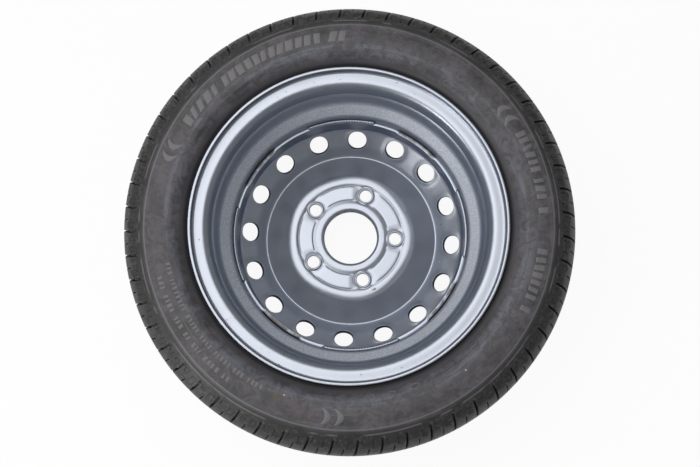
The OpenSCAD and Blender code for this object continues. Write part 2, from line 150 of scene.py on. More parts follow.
class SheetLine:
    """Middle line of a bent sheet. at(t) gives radius, height and unit normal at length t."""

    def __init__(self, corners):
        self.bends = rounded_path(corners, 8)
        line = spaced(rounded_path(corners, 24), 0.5)
        step = np.diff(line, axis=0)
        length = np.linalg.norm(step, axis=1)
        keep = np.concatenate([[True], length > 1e-9])
        line = line[keep]
        step = np.diff(line, axis=0)
        length = np.linalg.norm(step, axis=1)
        self.t = np.concatenate([[0.0], np.cumsum(length)])
        way = step / length[:, None]
        way = np.vstack([way[:1], way[:-1] + way[1:], way[-1:]])
        way /= np.linalg.norm(way, axis=1)[:, None]
        self.r, self.z = line[:, 0], line[:, 1]
        self.nr, self.nz = -way[:, 1], way[:, 0]

    def at(self, t):
        """Radius, height and unit normal at length t, linear between the line's points."""
        r, z, nr, nz = (np.interp(t, self.t, c) for c in (self.r, self.z, self.nr, self.nz))
        n = np.hypot(nr, nz)
        return r, z, nr / n, nz / n

    def length_near(self, r, z):
        """Length along the line of its point nearest to (r, z)."""
        return float(self.t[np.argmin(np.hypot(self.r - r, self.z - z))])

    def stations(self, t0, t1, gap):
        """Lengths from t0 to t1 at which the line bends, with none further apart than gap."""
        bends = np.array([self.length_near(*p) for p in self.bends])
        ts = np.unique(np.round(np.concatenate([[t0, t1], bends[(bends > t0) & (bends < t1)]]), 6))
        keep = np.concatenate([[True], np.diff(ts) > 0.3])
        keep[-1] = True
        ts = ts[keep]
        return spaced(np.column_stack([ts, np.zeros_like(ts)]), gap)[:, 0]


def quads(shape, close_rows=False, close_cols=False, flip=False, first=0):
    """Corner numbers of the quads of a grid of points, in an order that sets the normal to
    (step along rows) x (step along columns), or its opposite if flipped."""
    rows, cols = shape
    i = np.arange(rows if close_rows else rows - 1)[:, None]
    j = np.arange(cols if close_cols else cols - 1)[None, :]
    i2, j2 = (i + 1) % rows, (j + 1) % cols
    corners = (i * cols + j, i2 * cols + j, i2 * cols + j2, i * cols + j2)
    f = np.stack(np.broadcast_arrays(*corners), -1).reshape(-1, 4) + first
    return f[:, ::-1] if flip else f


class Skin:
    """Collects grids of points that share their borders, and makes one mesh of them."""

    def __init__(self):
        self.points, self.faces, self.tags, self.count = [], [], [], 0

    def grid(self, points, tag=0.0, **how):
        """Adds a grid of points with a tag each, and its quads as quads() numbers them."""
        points = np.asarray(points, float)
        rows, cols = points.shape[:2]
        self.faces.append(quads((rows, cols), first=self.count, **how))
        self.points.append(points.reshape(-1, 3))
        self.tags.append(np.broadcast_to(tag, (rows, cols)).reshape(-1).astype(float))
        self.count += rows * cols

    def strip(self, fine, coarse, count, k, fine_first, flip=False):
        """Triangles between a closed row of count * k points and one of count points, given
        by their first numbers: each coarse point has a fan to the fine points beside it."""
        j, i = np.arange(count)[:, None], np.arange(k)[None, :]
        here, after = fine + j * k + i, fine + (j * k + i + 1) % (count * k)
        hub = coarse + np.where(i < k // 2, j, (j + 1) % count)
        fans = np.stack(np.broadcast_arrays(here, hub, after), -1).reshape(-1, 3)
        j = j[:, 0]
        between = np.column_stack([fine + j * k + k // 2, coarse + j, coarse + (j + 1) % count])
        faces = np.vstack([fans, between])
        self.faces.append(faces if fine_first != flip else faces[:, ::-1])

    def build(self, name, weld=2e-6, sharp=None, attribute=None):
        """One mesh of all grids, with points nearer than weld merged, edges steeper than sharp
        degrees marked, and the tags kept in a named attribute."""
        mesh = bpy.data.meshes.new(name)
        verts = np.vstack(self.points)
        sizes = np.concatenate([np.full(len(f), f.shape[1]) for f in self.faces])
        corners = np.concatenate([f.ravel() for f in self.faces])
        mesh.vertices.add(len(verts))
        mesh.vertices.foreach_set("co", verts.astype(np.float32).ravel())
        mesh.loops.add(len(corners))
        mesh.loops.foreach_set("vertex_index", corners.astype(np.int32))
        mesh.polygons.add(len(sizes))
        mesh.polygons.foreach_set("loop_start", (np.cumsum(sizes) - sizes).astype(np.int32))
        mesh.polygons.foreach_set("use_smooth", np.ones(len(sizes), bool))
        if attribute:
            mark = mesh.attributes.new(attribute, "FLOAT", "POINT")
            mark.data.foreach_set("value", np.concatenate(self.tags).astype(np.float32))
        mesh.update(calc_edges=True)
        if weld:
            work = bmesh.new()
            work.from_mesh(mesh)
            bmesh.ops.remove_doubles(work, verts=work.verts, dist=weld)
            work.to_mesh(mesh)
            work.free()
        if sharp:
            mesh.set_sharp_from_angle(angle=math.radians(sharp))
        mesh.validate()
        thing = bpy.data.objects.new(name, mesh)
        bpy.context.scene.collection.objects.link(thing)
        return thing


def dress(thing, body, slot, material, *stands_for):
    """Gives a new piece its body and its material, and hides the nodes it stands for; slot is not
    used.
    """
    thing.data.materials.clear()
    thing.data.materials.append(material)
    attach(thing, body)
    if stands_for:
        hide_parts(*stands_for)
    return thing


# Rings of points round a hole in a sheet

def cell_border(t_lines, a_lines):
    """Border of a cell in (length, angle), anticlockwise seen from the sheet's face."""
    t0, t1, a0, a1 = t_lines[0], t_lines[-1], a_lines[0], a_lines[-1]
    t = np.concatenate([t_lines[:-1], np.full(len(a_lines) - 1, t1),
                        t_lines[:0:-1], np.full(len(a_lines) - 1, t0)])
    a = np.concatenate([np.full(len(t_lines) - 1, a0), a_lines[:-1],
                        np.full(len(t_lines) - 1, a1), a_lines[:0:-1]])
    return t, a


def hole_rings(line, centre_t, centre_a, t_lines, a_lines, rings):
    """(length, angle) of the points on rings between a hole and its cell.

    Each ring is (share, radius): share 0 is a circle of that radius, share 1 the cell's
    border, and between them every point lies on the straight way from one to the other.
    """
    bt, ba = cell_border(t_lines, a_lines)
    x = bt - centre_t
    y = np.interp(bt, line.t, line.r) * np.radians(ba - centre_a)
    ray = np.arctan2(y, x)
    share = np.array([k[0] for k in rings])[:, None]
    radius = np.array([k[1] for k in rings])[:, None]
    px = (1 - share) * radius * np.cos(ray) + share * x
    py = (1 - share) * radius * np.sin(ray) + share * y
    t = centre_t + px
    a = centre_a + np.degrees(py / np.interp(t, line.t, line.r))
    border = (share == 1)
    return np.where(border, bt, t), np.where(border, ba, a)


# Wheel disc

class DiscPlate:
    """The pressed plate: every point is found from its length along the section and its angle."""

    def __init__(self, s):
        self.line = SheetLine(DISC_CORNERS)
        self.s = s
        self.t_vent = self.line.length_near(
            s.vent_radius, VALLEY_Z + (s.vent_radius - VALLEY_R) * math.tan(CONE))

    def face(self, t, a, side):
        """Point of the hub-side (+1) or far (-1) face: the section's middle line moved by
        half the plate along its normal. Raised vent edges are a Gaussian of the distance from
        the vent's edge, and pads, lips, bosses and steps are smooth rises between two radii."""
        s = self.s
        r, z, nr, nz = self.line.at(t)
        v = np.hypot(t - self.t_vent, r * np.radians(off_nearest(a, VENTS, s.vent_phase)))
        lift = s.vent_lift * np.exp(-((v - s.vent_size / 2) / 4.0) ** 2)
        r = r + (side * PLATE_HALF + lift) * nr
        z = z + (side * PLATE_HALF + lift) * nz
        b = off_nearest(a, BOLTS, s.bolt_phase)
        swell = np.exp(-((r - 76.0) / 9.0) ** 2) * ease(r, 64.0, 70.0)
        r = r + s.swell * np.cos(np.radians(BOLTS * (a - s.bolt_phase))) * swell
        step = 1 - ease(np.abs(off_nearest(a, STEPS, s.step_phase)), 10.6, 12.4)
        r = r - s.step_in * step * ease(z, -20.0, -14.0)
        x = r * np.cos(np.radians(b)) - s.bolt_radius
        y = r * np.sin(np.radians(b))
        d = np.hypot(x, y)
        pad = ease(r, 46.9, 48.4) * (1 - ease(r, 64.0, 65.6)) * ease(np.abs(b), 10.8, 19.0)
        z = z + s.pad_rise * pad
        near = (r > 38) & (r < 78)
        if side > 0:
            lip_top = (TROUGH_TOP + s.lip_rise * (1 - ease(d, 9.4, 10.7))
                       - 0.75 * (1 - ease(d, 7.7, 8.7)))
            lip = np.where(d < 10.75, np.maximum(z * (d > 9.4) + lip_top * (d <= 9.4), lip_top), z)
            z = np.where(near, lip, z)
            z = z - 0.55 * np.exp(-((d - 11.5) / 0.75) ** 2) * near
        else:
            boss = TROUGH_UNDER - BOSS_DEPTH * (1 - ease(d, 13.3, 15.4)) + 6.0 * ease(d, 15.0, 17.0)
            z = np.where(near, np.minimum(z, boss), z)
            seat = TROUGH_UNDER - BOSS_DEPTH + np.maximum(SEAT_RADIUS - d, 0) * SEAT_SLOPE
            z = np.where(near & (d < SEAT_RADIUS), seat, z)
        return r, a, z

    def point(self, t, a, w):
        """Point between the two faces: w is 1 on the hub side and -1 on the far side."""
        r1, _, z1 = self.face(t, a, 1)
        r0, _, z0 = self.face(t, a, -1)
        k = (1 + w) / 2
        return polar(r0 + (r1 - r0) * k, a, z0 + (z1 - z0) * k)


def cut_end(line_point, t_end, outward, angles):
    """Flat cut edge of a sheet with small roundings: rows from the +1 face to the -1 face."""
    return line_point(t_end, EDGE_ACROSS[:, None], outward * EDGE_REACH[:, None], angles[None, :])


def disc_mesh(s):
    """The disc's closed surface: rings of quads about the axis, with cells round its holes."""
    plate = DiscPlate(s)
    line = plate.line
    around = DISC_STEPS
    turn = np.arange(around + 1) * 360.0 / around
    bolt_angles = s.bolt_phase + 180.0 / BOLTS + turn
    pitch = 360.0 / around
    half_vent = 180.0 / VENTS
    ahead = round((bolt_angles[0] - s.vent_phase - half_vent) / pitch)
    vent_angles = s.vent_phase + half_vent + ahead * pitch + turn

    t_bore = 0.0
    t_pad0 = line.length_near(40.6, -32.0) + 0.2
    t_pad1 = line.length_near(71.4, -32.0)
    t_mid = line.length_near(56.0, -33.5)
    t_vent = plate.t_vent
    t_cone0, t_cone1 = t_vent - 17.0, t_vent + 16.5
    t_end = line.t[-1]

    skin = Skin()

    def band(ts, angles_of):
        """Both faces between the lengths ts, with the columns at angles_of(ts)."""
        t = ts[:, None]
        a = angles_of(ts)
        for side in (1, -1):
            r, aa, z = plate.face(np.broadcast_to(t, a.shape), a, side)
            skin.grid(polar(r, aa, z), flip=side < 0)

    def fixed(angles):
        """The same angles at every length."""
        return lambda ts: np.broadcast_to(angles, (len(ts), len(angles)))

    band(line.stations(t_bore, t_pad0, 3.2), fixed(bolt_angles))
    # Pads and bolt cells
    radii = np.array([40.9, 41.9, 43.0, 44.3, 45.7, 46.9, 47.3, 47.7, 48.2, 49.6, 52.0, 55.0,
                      58.0, 61.0, 63.4, 64.7, 65.1, 65.5, 66.0, 67.0, 68.1, 69.2, 70.2, 71.3])
    t_lines = np.interp(radii, line.r[line.r < 74], line.t[line.r < 74])
    inner = t_lines[1:-1]
    inner = inner[(inner > t_pad0 + 0.3) & (inner < t_pad1 - 0.3)]
    t_lines = np.concatenate([[t_pad0], inner, [t_pad1]])
    rings = ([(k, 11.9) for k in (1.0, 0.86, 0.72, 0.58, 0.44, 0.3, 0.16, 0.0)]
             + [(0, d) for d in (11.6, 11.3, 10.9, 10.6, 10.3, 10.0, 9.7, 9.4, 9.0, 8.6, 8.2,
                                 7.95, 7.8)])
    under = [(0, d) for d in (8.3, 9.4, 10.6, 11.4, 11.62, 11.9, 12.5, 13.3)]
    under_blend = [(k, 13.3) for k in (0.15, 0.32, 0.5, 0.68, 0.84, 1.0)]
    per_bolt, cell = around // BOLTS, 28
    for k in range(BOLTS):
        start = (per_bolt * k - (per_bolt + cell) // 2) % around
        cell_a = bolt_angles[0] + np.arange(start, start + cell + 1) * pitch
        centre_a = bolt_angles[0] + (start + cell // 2) * pitch
        rows = rings + [(0, BOLT_HOLE)] * 4 + under + under_blend
        w = np.array([1.0] * len(rings) + [0.9, 0.3, -0.3, -1.0]
                     + [-1.0] * (len(under) + len(under_blend)))[:, None]
        t, a = hole_rings(line, t_mid, centre_a, t_lines, cell_a, rows)
        w = np.broadcast_to(w, t.shape)
        skin.grid(plate.point(t, a, w), close_cols=True, flip=True)
        pad_cols = np.arange(start + cell, start + per_bolt + 1)
        band(t_lines, fixed(bolt_angles[0] + pad_cols * pitch))
    # Wall down to the valley, where the columns drift from the bolts' to the vents' angles
    wall = line.stations(t_pad1, t_cone0, 3.0)

    def drifting(ts):
        """Angles that ease from the bolts' columns to the vents' with the length."""
        k = ease(ts, t_pad1, t_cone0)[:, None]
        k[0], k[-1] = 0.0, 1.0
        return bolt_angles * (1 - k) + vent_angles * k

    band(wall, drifting)
    # Vents
    rho, narrower = 0.5, 0.7
    bend = np.radians([0, 30, 60, 90])
    edge = [(0, s.vent_size / 2 + rho * (1 - math.sin(k))) for k in bend]
    edge_w = [1 - rho / PLATE_HALF * (1 - math.cos(k)) for k in bend]
    shares = (1.0, 0.8, 0.62, 0.45, 0.3, 0.17, 0.07)
    hole = s.vent_size / 2 + rho
    rows = ([(k, hole) for k in shares] + edge + [(0, s.vent_size / 2)]
            + [(0, d - narrower) for _, d in edge[::-1]] + [(k, hole) for k in shares[::-1]])
    w = np.array([1.0] * len(shares) + edge_w + [0.0] + [-k for k in edge_w[::-1]]
                 + [-1.0] * len(shares))[:, None]
    vent_t = np.linspace(t_cone0, t_cone1, 13)
    # Tag of the vents' walls, where the paint is darkened as painted shade
    wall_shade_mark = 1.0 - ease(np.abs(w), 0.8, 1.0)
    per_vent = around // VENTS
    for k in range(VENTS):
        cell_a = vent_angles[0] + pitch * (per_vent * k - ahead + np.arange(per_vent + 1))
        t, a = hole_rings(line, t_vent, cell_a[per_vent // 2], vent_t, cell_a, rows)
        points = plate.point(t, a, np.broadcast_to(w, t.shape))
        skin.grid(points, tag=wall_shade_mark, close_cols=True, flip=True)
    band(line.stations(t_cone1, t_end, 2.6), fixed(vent_angles))

    def end_point(t, w, reach, a):
        """Point between the faces as in DiscPlate.point, moved by reach along the axis."""
        r1, _, z1 = plate.face(np.full(a.shape, t), a, 1)
        r0, _, z0 = plate.face(np.full(a.shape, t), a, -1)
        k = (1 + w) / 2
        return polar(r0 + (r1 - r0) * k, a, z0 + (z1 - z0) * k + reach)

    skin.grid(cut_end(end_point, t_bore, -1, bolt_angles), flip=True)
    skin.grid(cut_end(end_point, t_end, 1, vent_angles))
    return skin.build("disc_plate", sharp=42, attribute="vent_wall_shade")


def rim_mesh(s):
    """The rolled strip: both faces of the section's middle line turned about the axis, with
    the low ridge of its butt weld across one angle."""
    line = SheetLine(RIM_CORNERS)
    angles = np.arange(RIM_STEPS + 1) * 360.0 / RIM_STEPS
    ts = line.stations(0.0, line.t[-1], 3.0)
    ridge = 0.35 * np.exp(-((angles - s.seam_angle) * 2.6 / 2.2) ** 2)
    skin = Skin()
    r, z, nr, nz = (c[:, None] for c in line.at(ts))
    for side in (1, -1):
        out = side * (RIM_HALF + ridge[None, :] * (ease(r, 143.0, 147.0)))
        skin.grid(polar(r + out * nr, angles[None, :], z + out * nz), flip=side < 0)
    across, reach = (RIM_HALF + ridge[None, :]) * EDGE_ACROSS[:, None], EDGE_REACH[:, None]
    for t_end, way in ((0.0, 1), (line.t[-1], -1)):
        r, z, nr, nz = (float(c) for c in line.at(t_end))
        grid = polar(r + across * nr, angles[None, :], z + across * nz + way * reach)
        skin.grid(grid, flip=way > 0)
    return skin.build("rim_strip", sharp=42)


# Weld beads: middle and half length, both as angles in degrees
WELD_BEADS = ((5.0, 17.5), (94.5, 17.5), (185.5, 19.5), (275.5, 19.5))
WELD_RADIUS, WELD_SIZE, WELD_RIPPLE = 142.9, 3.9, 0.035


def weld_mesh():
    """Four fillet beads: a bulging triangular section carried round an arc, whose size
    ripples with the welder's steps and runs out to nothing at both ends."""
    skin = Skin()
    for centre, half in WELD_BEADS:
        a = np.linspace(centre - half, centre + half, 180)[None, :]
        run = np.clip((half - np.abs(a - centre)) / 1.2, 0, 1)
        ripple = np.sin(np.radians(a) * WELD_RADIUS / 1.6 * 2 * math.pi / 2.2)
        size = WELD_SIZE * np.sqrt(run) * (1 + WELD_RIPPLE * ripple) + 0.05
        # The section goes round k: it leans on the well at its outer side and bulges inward
        k = np.linspace(0, 2 * math.pi, 14, endpoint=False)[:, None]
        x = WELD_RADIUS - size * 0.62 * (1 - np.cos(k)) * 0.78
        z = 0.2 + size * 0.5 * (1 + np.sin(k)) - size * 0.14 * (1 - np.cos(k))
        skin.grid(polar(np.broadcast_to(x, z.shape), a, z), close_rows=True, flip=True)
        for col in (0, -1):
            ring = polar(x[:, col], a[:, col], z[:, col])
            middle = np.broadcast_to(ring.mean(axis=0), ring.shape)
            skin.grid(np.stack([ring, middle], axis=1), close_rows=True, flip=col != 0)
    return skin.build("weld_beads", sharp=60)


# Tyre

PITCHES = 56


def tyre_outline():
    """Half of the tyre's closed section from the crown to the bead toe and back along the
    liner, as radius and height."""
    outer = rounded_path([
        (CROWN_R, 0, 0), (262.1, 31.7, 300), (261.0, 55.9, 120), (258.4, 75.5, 26),
        (249.6, 87.0, 16), (231.6, 97.1, 40), (220.15, 100.5, 45), (207.15, 100.5, 40),
        (197.5, 97.5, 18), (187.2, 90.0, 8), (184.1, 83.7, 4), (182.05, 80.6, 0)], 10)
    k = np.radians(-20 - 70 * np.linspace(0, 1, 7))
    curl = np.column_stack([175.7 + 6.65 * np.cos(k), 82.7 + 6.65 * np.sin(k)])
    heel = rounded_path([(172.7, 76.05, 0), (164.85, 76.05, 6.35), (163.31, 57.8, 0)], 5)[1:-1]
    liner = rounded_path([
        (163.31, 57.8, 0), (170.3, 58.8, 6), (181.7, 67.2, 14), (194.7, 87.9, 20),
        (213.65, 91.5, 40), (232.6, 87.0, 30), (246.4, 73.5, 16), (249.6, 6, 0)], 4)
    return outer, np.vstack([curl, heel, liner])


def sunk(r):
    """Depth of the sidewall's sunk band at radius r."""
    return BAND_DEPTH * ease(r, 203.6, 205.6) * (1 - ease(r, 225.4, 227.4))


# Columns of one pitch of the tread in millimetres round the crown, and which of them stand
# in the gap between blocks, in the sipe and in the two shallow pockets
PITCH_COLUMNS = np.array([-1.35, -1.0, 1.0, 1.35, 5.0, 5.4, 11.0, 11.4,
                          14.0, 14.35, 15.05, 15.4, 18.0, 18.4, 24.4, 24.8])
IN_GAP, IN_SIPE, IN_POCKET, IN_NOTCH = (1, 2), (9, 10), (5, 6), (13, 14)
GROOVES = (15.5, 46.5)
GROOVE_DEPTH, GAP_DEPTH, POCKET_DEPTH = 7.0, 6.5, 1.5
SHOULDER_SIPE_DEPTH, RIB_SIPE_DEPTH = 3.6, 4.0

# Raised rings of the sidewall: radius, half width and height in millimetres
SIDE_RIBS = ((229.6, 1.1, 0.9), (235.8, 1.0, 0.55), (199.0, 1.0, 0.35), (187.0, 1.1, 0.4))


def even(path, gap):
    """Points at equal steps of about gap along a path."""
    step = np.linalg.norm(np.diff(path, axis=0), axis=1)
    at = np.concatenate([[0.0], np.cumsum(step)])
    want = np.linspace(0, at[-1], int(np.ceil(at[-1] / gap)) + 1)
    return np.column_stack([np.interp(want, at, path[:, k]) for k in (0, 1)])


def tyre_mesh():
    """The tyre's closed surface: its section turned about the axis, with the grooves, the
    gaps between shoulder blocks, the sipes, the pockets and the sidewall's ribs as moves of
    its points. The tread has many columns, and the rest every eighth of them."""
    outer, rest = tyre_outline()
    crown, side = outer[outer[:, 1] < 74], outer[outer[:, 1] >= 74]
    groove_rows = [g + np.array([-4.5, -4.1, -2, 2, 4.1, 4.5]) for g in GROOVES]
    zs = np.unique(np.round(np.concatenate([np.arange(0, 74, 5.2)] + groove_rows), 3))
    crown_r = np.interp(zs, crown[:, 1], crown[:, 0])
    outer = np.vstack([np.column_stack([crown_r, zs]), even(side, 1.9)])
    half = np.vstack([outer, rest])
    whole = np.vstack([half, half[:0:-1] * [1, -1]])
    n_out, rows = len(outer), len(whole)
    order = (np.arange(rows) - (n_out - 1)) % rows
    r, z = whole[order, 0], whole[order, 1]
    is_outer = np.arange(rows) < 2 * n_out - 1
    pitch = 360.0 / PITCHES
    mm_per_deg = CROWN_R * math.pi / 180
    base = (np.arange(PITCHES)[:, None] * pitch + PITCH_COLUMNS[None, :] / mm_per_deg).reshape(-1)

    def columns(which):
        """1 in the given columns of every pitch and 0 in the others."""
        one_pitch = np.isin(np.arange(len(PITCH_COLUMNS)), which).astype(float)
        return np.tile(one_pitch, PITCHES)[None, :]

    # The gaps slant on each shoulder, and the far shoulder's are half a pitch on
    lean = np.clip(np.abs(z) - 46.0, 0, 50) * math.tan(math.radians(14)) * np.sign(z) / mm_per_deg
    shift = lean + ease(-z, -46.0, 46.0) * pitch / 2
    fine = np.flatnonzero(is_outer & (r > 238))
    first, last = fine[0], fine[-1]
    coarse = np.concatenate([np.arange(last + 1, rows), np.arange(first)])
    shift[coarse] = np.linspace(shift[last], shift[first], len(coarse) + 2)[1:-1]
    az = np.abs(z)
    tread = is_outer & (r > 250)
    groove = tread & ((np.abs(az - GROOVES[0]) < 4.3) | (np.abs(az - GROOVES[1]) < 4.3))
    shoulder = is_outer & (az > 50.5) & (r > 239.0)

    def cut(where, deep, which):
        """Depth deep at the rows where and the columns which, 0 elsewhere."""
        return np.where(where, deep, 0)[:, None] * columns(which)

    depth = cut(shoulder, GAP_DEPTH * ease(r, 238.5, 249.0), IN_GAP)
    depth += cut(shoulder & (az < 84), SHOULDER_SIPE_DEPTH * ease(r, 246.0, 254.0), IN_SIPE)
    depth += cut(tread & (az < 42.5), RIB_SIPE_DEPTH, IN_SIPE)
    depth += cut(is_outer & (r > 240.5) & (r < 247.0), POCKET_DEPTH, IN_POCKET)
    depth += cut(is_outer & (r > 243.5) & (r < 251.0), POCKET_DEPTH, IN_NOTCH)
    depth = np.where(groove[:, None], GROOVE_DEPTH, depth)
    # Ribs of the sidewall: raised rings and the step under the shoulder blocks
    rise = np.zeros(rows)
    side_zone = is_outer & (az > 78)
    for at, wide, high in SIDE_RIBS:
        rise += np.where(side_zone, high * np.exp(-((r - at) / wide) ** 2), 0)
    rise -= np.where(side_zone, sunk(r), 0)
    rr = r[:, None] - depth * np.clip((r[:, None] - 225) / 30, 0.35, 1)
    sink = depth * np.where(r < 256, np.clip((256 - r) / 22, 0, 0.6), 0)[:, None]
    zz = z[:, None] + (np.sign(z) * rise)[:, None] - np.sign(z)[:, None] * sink
    points = polar(rr, base[None, :] + shift[:, None], zz)
    skin = Skin()
    k = len(PITCH_COLUMNS) // 2
    many, few = len(base), len(base) // k
    skin.grid(points[first:last + 1], close_cols=True, flip=True)
    start = skin.count
    skin.grid(points[coarse][:, ::k], close_cols=True, flip=True)
    skin.strip(start - many, start, few, k, True, flip=True)
    skin.strip(0, skin.count - few, few, k, False, flip=True)
    return skin.build("tyre_casing", weld=None, sharp=38)


def along_wall(r):
    """Height of the sidewall's surface at radius r, from the tyre's outline and sunk band."""
    outer, _ = tyre_outline()
    wall = outer[outer[:, 1] > 70]
    order = np.argsort(wall[:, 0])
    return np.interp(r, wall[order, 0], wall[order, 1]) - sunk(r)


def raised_patch(skin, a, r, high, way=1, slant=0.0, bow=0.0, taper=0.0):
    """A raised patch of rubber between two angles a and two radii r, on the inboard sidewall
    (way 1) or the outboard one (way -1): a grid whose border is sunk under the sidewall and
    whose top is high above it. Its angle also grows by slant from its inner end to its outer
    one, bows by bow in between as 1 - (2v - 1)^2, and narrows towards both ends by taper."""
    u = np.array([0.0, 0.001, 0.12, 0.5, 0.88, 0.999, 1.0])
    v = np.array([0.0, 0.001, 0.06, 0.15, 0.3, 0.5, 0.7, 0.85, 0.94, 0.999, 1.0])
    arch = 1 - (2 * v[None, :] - 1) ** 2
    width = (a[1] - a[0]) * (1 - taper * (1 - arch))
    aa = (a[0] + a[1]) / 2 + width * (u[:, None] - 0.5) + slant * (v[None, :] - 0.5) + bow * arch
    rr = (r[0] + (r[1] - r[0]) * v)[None, :] + 0 * aa
    edge = np.minimum(np.minimum(u, 1 - u)[:, None], np.minimum(v, 1 - v)[None, :])
    top = np.where(edge == 0, -0.6, np.where(edge < 0.03, high * 0.55, high))
    skin.grid(polar(rr, aa, way * (along_wall(rr) + top)), flip=way > 0)
    skin.grid(polar(rr, aa, way * (along_wall(rr) - 0.6)), flip=way < 0)


def raised_oval(skin, at_a, at_r, half_a, half_r, high, way=1):
    """A raised oval ring: a low ridge carried round an ellipse, its foot under the sidewall."""
    turn = np.linspace(0, 2 * math.pi, 49)[None, :]
    across = np.array([-0.75, -0.5, -0.25, 0.25, 0.5, 0.75])[:, None]
    lift = np.array([-0.6, high * 0.4, high, high, high * 0.4, -0.6])[:, None]
    rr = at_r + (half_r + across) * np.sin(turn)
    aa = at_a + np.degrees((half_a + across) * np.cos(turn) / at_r)
    skin.grid(polar(rr, aa, way * (along_wall(rr) + lift)), flip=way > 0)
    ends = [0, -1]
    skin.grid(polar(rr[ends], aa[ends], way * (along_wall(rr[ends]) - 0.6)), flip=way < 0)


# Plain bars on the sidewall: start angle, way round, inner and outer radius, bar width, gap,
# slant of the bars, all angles in degrees, and the number of bars in each group
BAR_BANDS = [
    (148.5, -1, 209.5, 222.0, 1.9, 1.05, -0.9, (5, 12, 2)),
    (27.5, -1, 212.5, 224.0, 1.5, 0.95, 0.0, (6, 3, 1)),
    (-8.5, -1, 212.5, 224.0, 1.4, 0.9, 0.0, (7, 1)),
    (196.5, 1, 215.5, 221.5, 0.8, 0.75, 0.0, (3, 4, 3, 2, 3, 4, 2)),
    (193.0, 1, 203.5, 209.0, 0.75, 0.72, 0.0, (3, 8, 5, 4, 5, 3, 4)),
]
ARC_PAIRS = (157.0, 33.0, 264.5)
OVALS = ((277.6, 3.0), (284.0, 4.6), (291.8, 5.6))
MARK_HIGH = 0.42


def marks_mesh():
    """Plain raised bars, arcs and ovals on both sidewalls, with no meaning of their own."""
    skin = Skin()
    draw = np.random.default_rng(13)
    for side in (1, -1):
        for start, way, r0, r1, wide, gap, slant, groups in BAR_BANDS:
            at = start
            for bars in groups:
                for _ in range(bars):
                    w = wide * (0.75 + 0.5 * draw.random())
                    lean = slant + 0.8 * wide * (draw.random() - 0.5)
                    raised_patch(skin, sorted((at, at + way * w)), (r0, r1), MARK_HIGH, side, lean)
                    at += way * (w + gap * (0.6 + 0.5 * draw.random()))
                at += way * gap * 1.6
        for middle in ARC_PAIRS:
            for shift in (-1.9, 1.9):
                a = middle + shift
                raised_patch(skin, (a - 0.9, a + 0.9), (207.5, 225.0), MARK_HIGH, side,
                             bow=1.6, taper=0.5)
        for angle, half in OVALS:
            raised_oval(skin, angle, 196.0, half, 2.6, 0.4, side)
    return skin.build("sidewall_bars", sharp=50)


# Finishes

